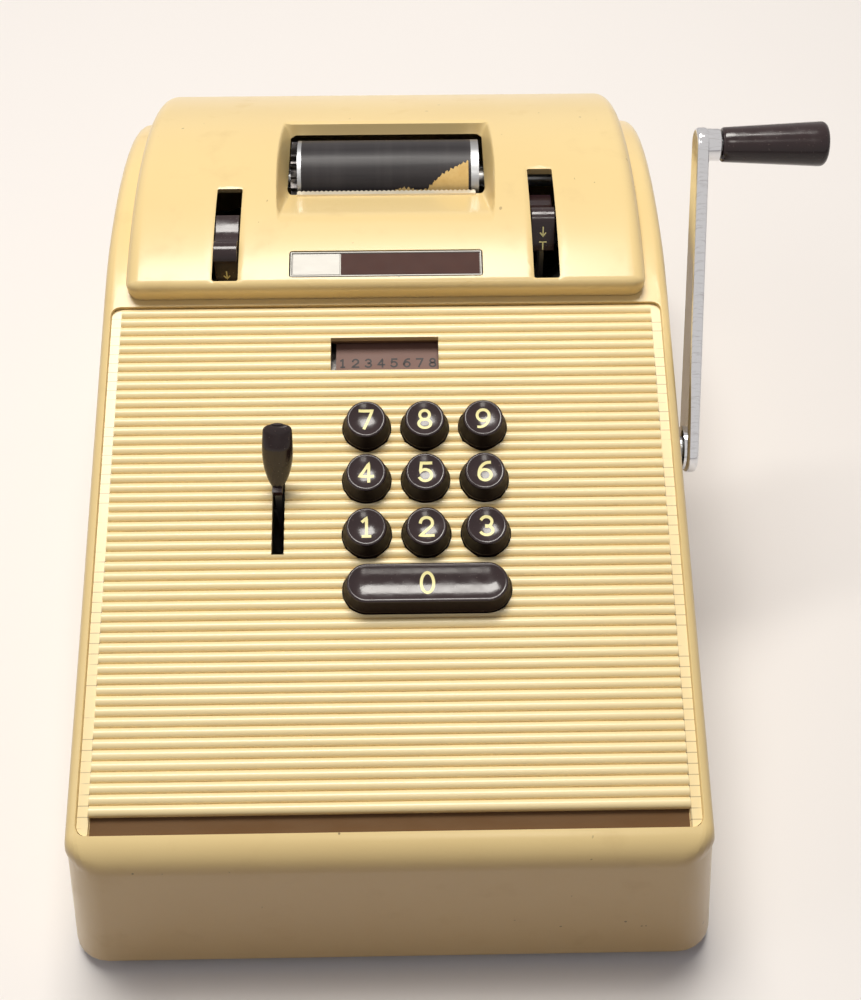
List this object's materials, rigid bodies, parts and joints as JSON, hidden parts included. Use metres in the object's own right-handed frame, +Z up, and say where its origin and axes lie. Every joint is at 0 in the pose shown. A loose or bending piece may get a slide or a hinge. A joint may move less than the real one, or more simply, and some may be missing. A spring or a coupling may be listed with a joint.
{
  "type": "adding machine",
  "caption": "Hand-cranked ten-key adding machine with a ribbed sloping keyboard, arched hood with print window and side crank.",
  "frame": {"origin": "middle of the bounding box on the desk plane, crank included", "axes": "+Z up from the desk, +Y from the operator to the back, +X to the operator's right, where the crank is"},
  "size_m": [0.2496, 0.319, 0.1758],
  "materials": {
    "cream_paint": "glossy cream enamel",
    "brown_plastic": "glossy dark brown moulding",
    "bright_steel": "bright plate",
    "plain_steel": "zinc-plated sheet and rod",
    "black_rubber": "matte rubber",
    "black_plastic": "matte",
    "brass": "turned",
    "strip_plastic": "satin",
    "tape_paper": "aged paper",
    "roll_paper": "uncoated paper",
    "ribbon_cloth": "inked cloth"
  },
  "bodies": {
    "chassis": {"base_pan": "plain_steel", "rubber_feet": "black_rubber", "foot_screws": "plain_steel", "case": "cream_paint", "keyboard_panel": "cream_paint", "hood": "cream_paint", "name_plate": "brown_plastic", "tear_bar": "plain_steel", "left_side_frame": "plain_steel", "right_side_frame": "plain_steel", "inner_frame": "plain_steel", "tie_rods": "plain_steel", "upper_key_guide": "plain_steel", "lower_key_guide": "plain_steel", "carriage_rails": "plain_steel", "lever_pivot": "plain_steel", "control_lever_shaft": "plain_steel", "roll_spindle": "plain_steel", "shaft_bushes": "brass", "return_spring": "plain_steel", "rack_guides": "plain_steel", "wheel_shafts": "plain_steel", "ribbon_deck": "plain_steel", "ribbon": "ribbon_cloth"},
    "key_0": {"key_0": "brown_plastic"},
    "key_1": {"key_1": "brown_plastic"},
    "key_2": {"key_2": "brown_plastic"},
    "key_3": {"key_3": "brown_plastic"},
    "key_4": {"key_4": "brown_plastic"},
    "key_5": {"key_5": "brown_plastic"},
    "key_6": {"key_6": "brown_plastic"},
    "key_7": {"key_7": "brown_plastic"},
    "key_8": {"key_8": "brown_plastic"},
    "key_9": {"key_9": "brown_plastic"},
    "carriage": {"pin_carriage": "brass", "column_strip": "strip_plastic"},
    "correction": {"correction_lever": "plain_steel", "correction_knob": "brown_plastic"},
    "left_control": {"left_control_lever": "brown_plastic"},
    "right_control": {"right_control_lever": "brown_plastic"},
    "platen": {"platen_roller": "black_rubber", "platen_shaft": "plain_steel", "platen_ratchet": "plain_steel", "platen_discs": "bright_steel", "paper_tape": "tape_paper"},
    "tape_stock": {"paper_roll": "roll_paper"},
    "crank": {"crank_arm": "bright_steel", "crank_screw": "bright_steel", "drive_shaft": "plain_steel", "drive_sector": "plain_steel", "grip_spindle": "bright_steel"},
    "grip": {"crank_grip": "brown_plastic"},
    "bail": {"bail_shaft": "plain_steel", "bail_sector": "plain_steel", "restoring_bail": "plain_steel"},
    "racks": {"adding_racks": "plain_steel"},
    "type": {"type_wheels": "plain_steel"},
    "accumulator": {"accumulator_wheels": "brass"},
    "spool_left": {"ribbon_spool_left": "black_plastic"},
    "spool_right": {"ribbon_spool_right": "black_plastic"}
  },
  "joints": [
    {"name": "key_0_press", "type": "slide", "parent": "chassis", "child": "key_0", "axis": [0, 0.2756, -0.9613], "range_m": [0, 0.005], "stiffness_N_per_m": 120, "springref_m": -0.004},
    {"name": "key_1_press", "type": "slide", "parent": "chassis", "child": "key_1", "axis": [0, 0.2756, -0.9613], "range_m": [0, 0.005], "stiffness_N_per_m": 120, "springref_m": -0.004},
    {"name": "key_2_press", "type": "slide", "parent": "chassis", "child": "key_2", "axis": [0, 0.2756, -0.9613], "range_m": [0, 0.005], "stiffness_N_per_m": 120, "springref_m": -0.004},
    {"name": "key_3_press", "type": "slide", "parent": "chassis", "child": "key_3", "axis": [0, 0.2756, -0.9613], "range_m": [0, 0.005], "stiffness_N_per_m": 120, "springref_m": -0.004},
    {"name": "key_4_press", "type": "slide", "parent": "chassis", "child": "key_4", "axis": [0, 0.2756, -0.9613], "range_m": [0, 0.005], "stiffness_N_per_m": 120, "springref_m": -0.004},
    {"name": "key_5_press", "type": "slide", "parent": "chassis", "child": "key_5", "axis": [0, 0.2756, -0.9613], "range_m": [0, 0.005], "stiffness_N_per_m": 120, "springref_m": -0.004},
    {"name": "key_6_press", "type": "slide", "parent": "chassis", "child": "key_6", "axis": [0, 0.2756, -0.9613], "range_m": [0, 0.005], "stiffness_N_per_m": 120, "springref_m": -0.004},
    {"name": "key_7_press", "type": "slide", "parent": "chassis", "child": "key_7", "axis": [0, 0.2756, -0.9613], "range_m": [0, 0.005], "stiffness_N_per_m": 120, "springref_m": -0.004},
    {"name": "key_8_press", "type": "slide", "parent": "chassis", "child": "key_8", "axis": [0, 0.2756, -0.9613], "range_m": [0, 0.005], "stiffness_N_per_m": 120, "springref_m": -0.004},
    {"name": "key_9_press", "type": "slide", "parent": "chassis", "child": "key_9", "axis": [0, 0.2756, -0.9613], "range_m": [0, 0.005], "stiffness_N_per_m": 120, "springref_m": -0.004},
    {"name": "carriage_step", "type": "slide", "parent": "chassis", "child": "carriage", "axis": [1, 0, 0], "range_m": [-0.0356, 0]},
    {"name": "correction_swing", "type": "hinge", "parent": "chassis", "child": "correction", "pos_m": [-0.05558, -0.03617, 0.05453], "axis": [1, 0, 0], "range_deg": [0, 21.2], "stiffness_Nm_per_rad": 0.06, "springref_deg": -20.05},
    {"name": "left_control_swing", "type": "hinge", "parent": "chassis", "child": "left_control", "pos_m": [-0.07468, 0.04548, 0.092], "axis": [1, 0, 0], "range_deg": [-12, 0]},
    {"name": "right_control_swing", "type": "hinge", "parent": "chassis", "child": "right_control", "pos_m": [0.03412, 0.04548, 0.092], "axis": [1, 0, 0], "range_deg": [0, 22]},
    {"name": "platen_turn", "type": "hinge", "parent": "chassis", "child": "platen", "pos_m": [-0.02028, 0.09148, 0.119], "axis": [1, 0, 0], "continuous": true},
    {"name": "roll_turn", "type": "hinge", "parent": "chassis", "child": "tape_stock", "pos_m": [-0.02028, 0.12902, 0.066], "axis": [1, 0, 0], "continuous": true},
    {"name": "crank_pull", "type": "hinge", "parent": "chassis", "child": "crank", "pos_m": [0.05972, -0.01252, 0.087], "axis": [1, 0, 0], "range_deg": [0, 95], "stiffness_Nm_per_rad": 0.25, "springref_deg": -68.75},
    {"name": "grip_spin", "type": "hinge", "parent": "crank", "child": "grip", "pos_m": [0.09972, 0.04806, 0.16857], "axis": [1, 0, 0], "continuous": true},
    {"name": "bail_swing", "type": "hinge", "parent": "chassis", "child": "bail", "pos_m": [-0.02028, 0.02334, 0.07604], "axis": [1, 0, 0], "range_deg": [-63.4, 0]},
    {"name": "rack_slide", "type": "slide", "parent": "chassis", "child": "racks", "axis": [0, 1, 0], "range_m": [-0.02654, 0]},
    {"name": "type_turn", "type": "hinge", "parent": "chassis", "child": "type", "pos_m": [-0.02028, 0.07994, 0.07424], "axis": [1, 0, 0], "range_deg": [-95.1, 0]},
    {"name": "accumulator_turn", "type": "hinge", "parent": "chassis", "child": "accumulator", "pos_m": [-0.02028, 0.07994, 0.04024], "axis": [1, 0, 0], "continuous": true},
    {"name": "left_spool_turn", "type": "hinge", "parent": "chassis", "child": "spool_left", "pos_m": [-0.07228, 0.07994, 0.095], "axis": [0, 0, 1], "continuous": true},
    {"name": "right_spool_turn", "type": "hinge", "parent": "chassis", "child": "spool_right", "pos_m": [0.03172, 0.07994, 0.095], "axis": [0, 0, 1], "continuous": true}
  ],
  "couplings": [
    {"joint": "bail_swing", "follows": "crank_pull", "ratio": -0.66667},
    {"joint": "rack_slide", "follows": "crank_pull", "m_per_rad": -0.016},
    {"joint": "type_turn", "follows": "crank_pull", "ratio": -1}
  ]
}
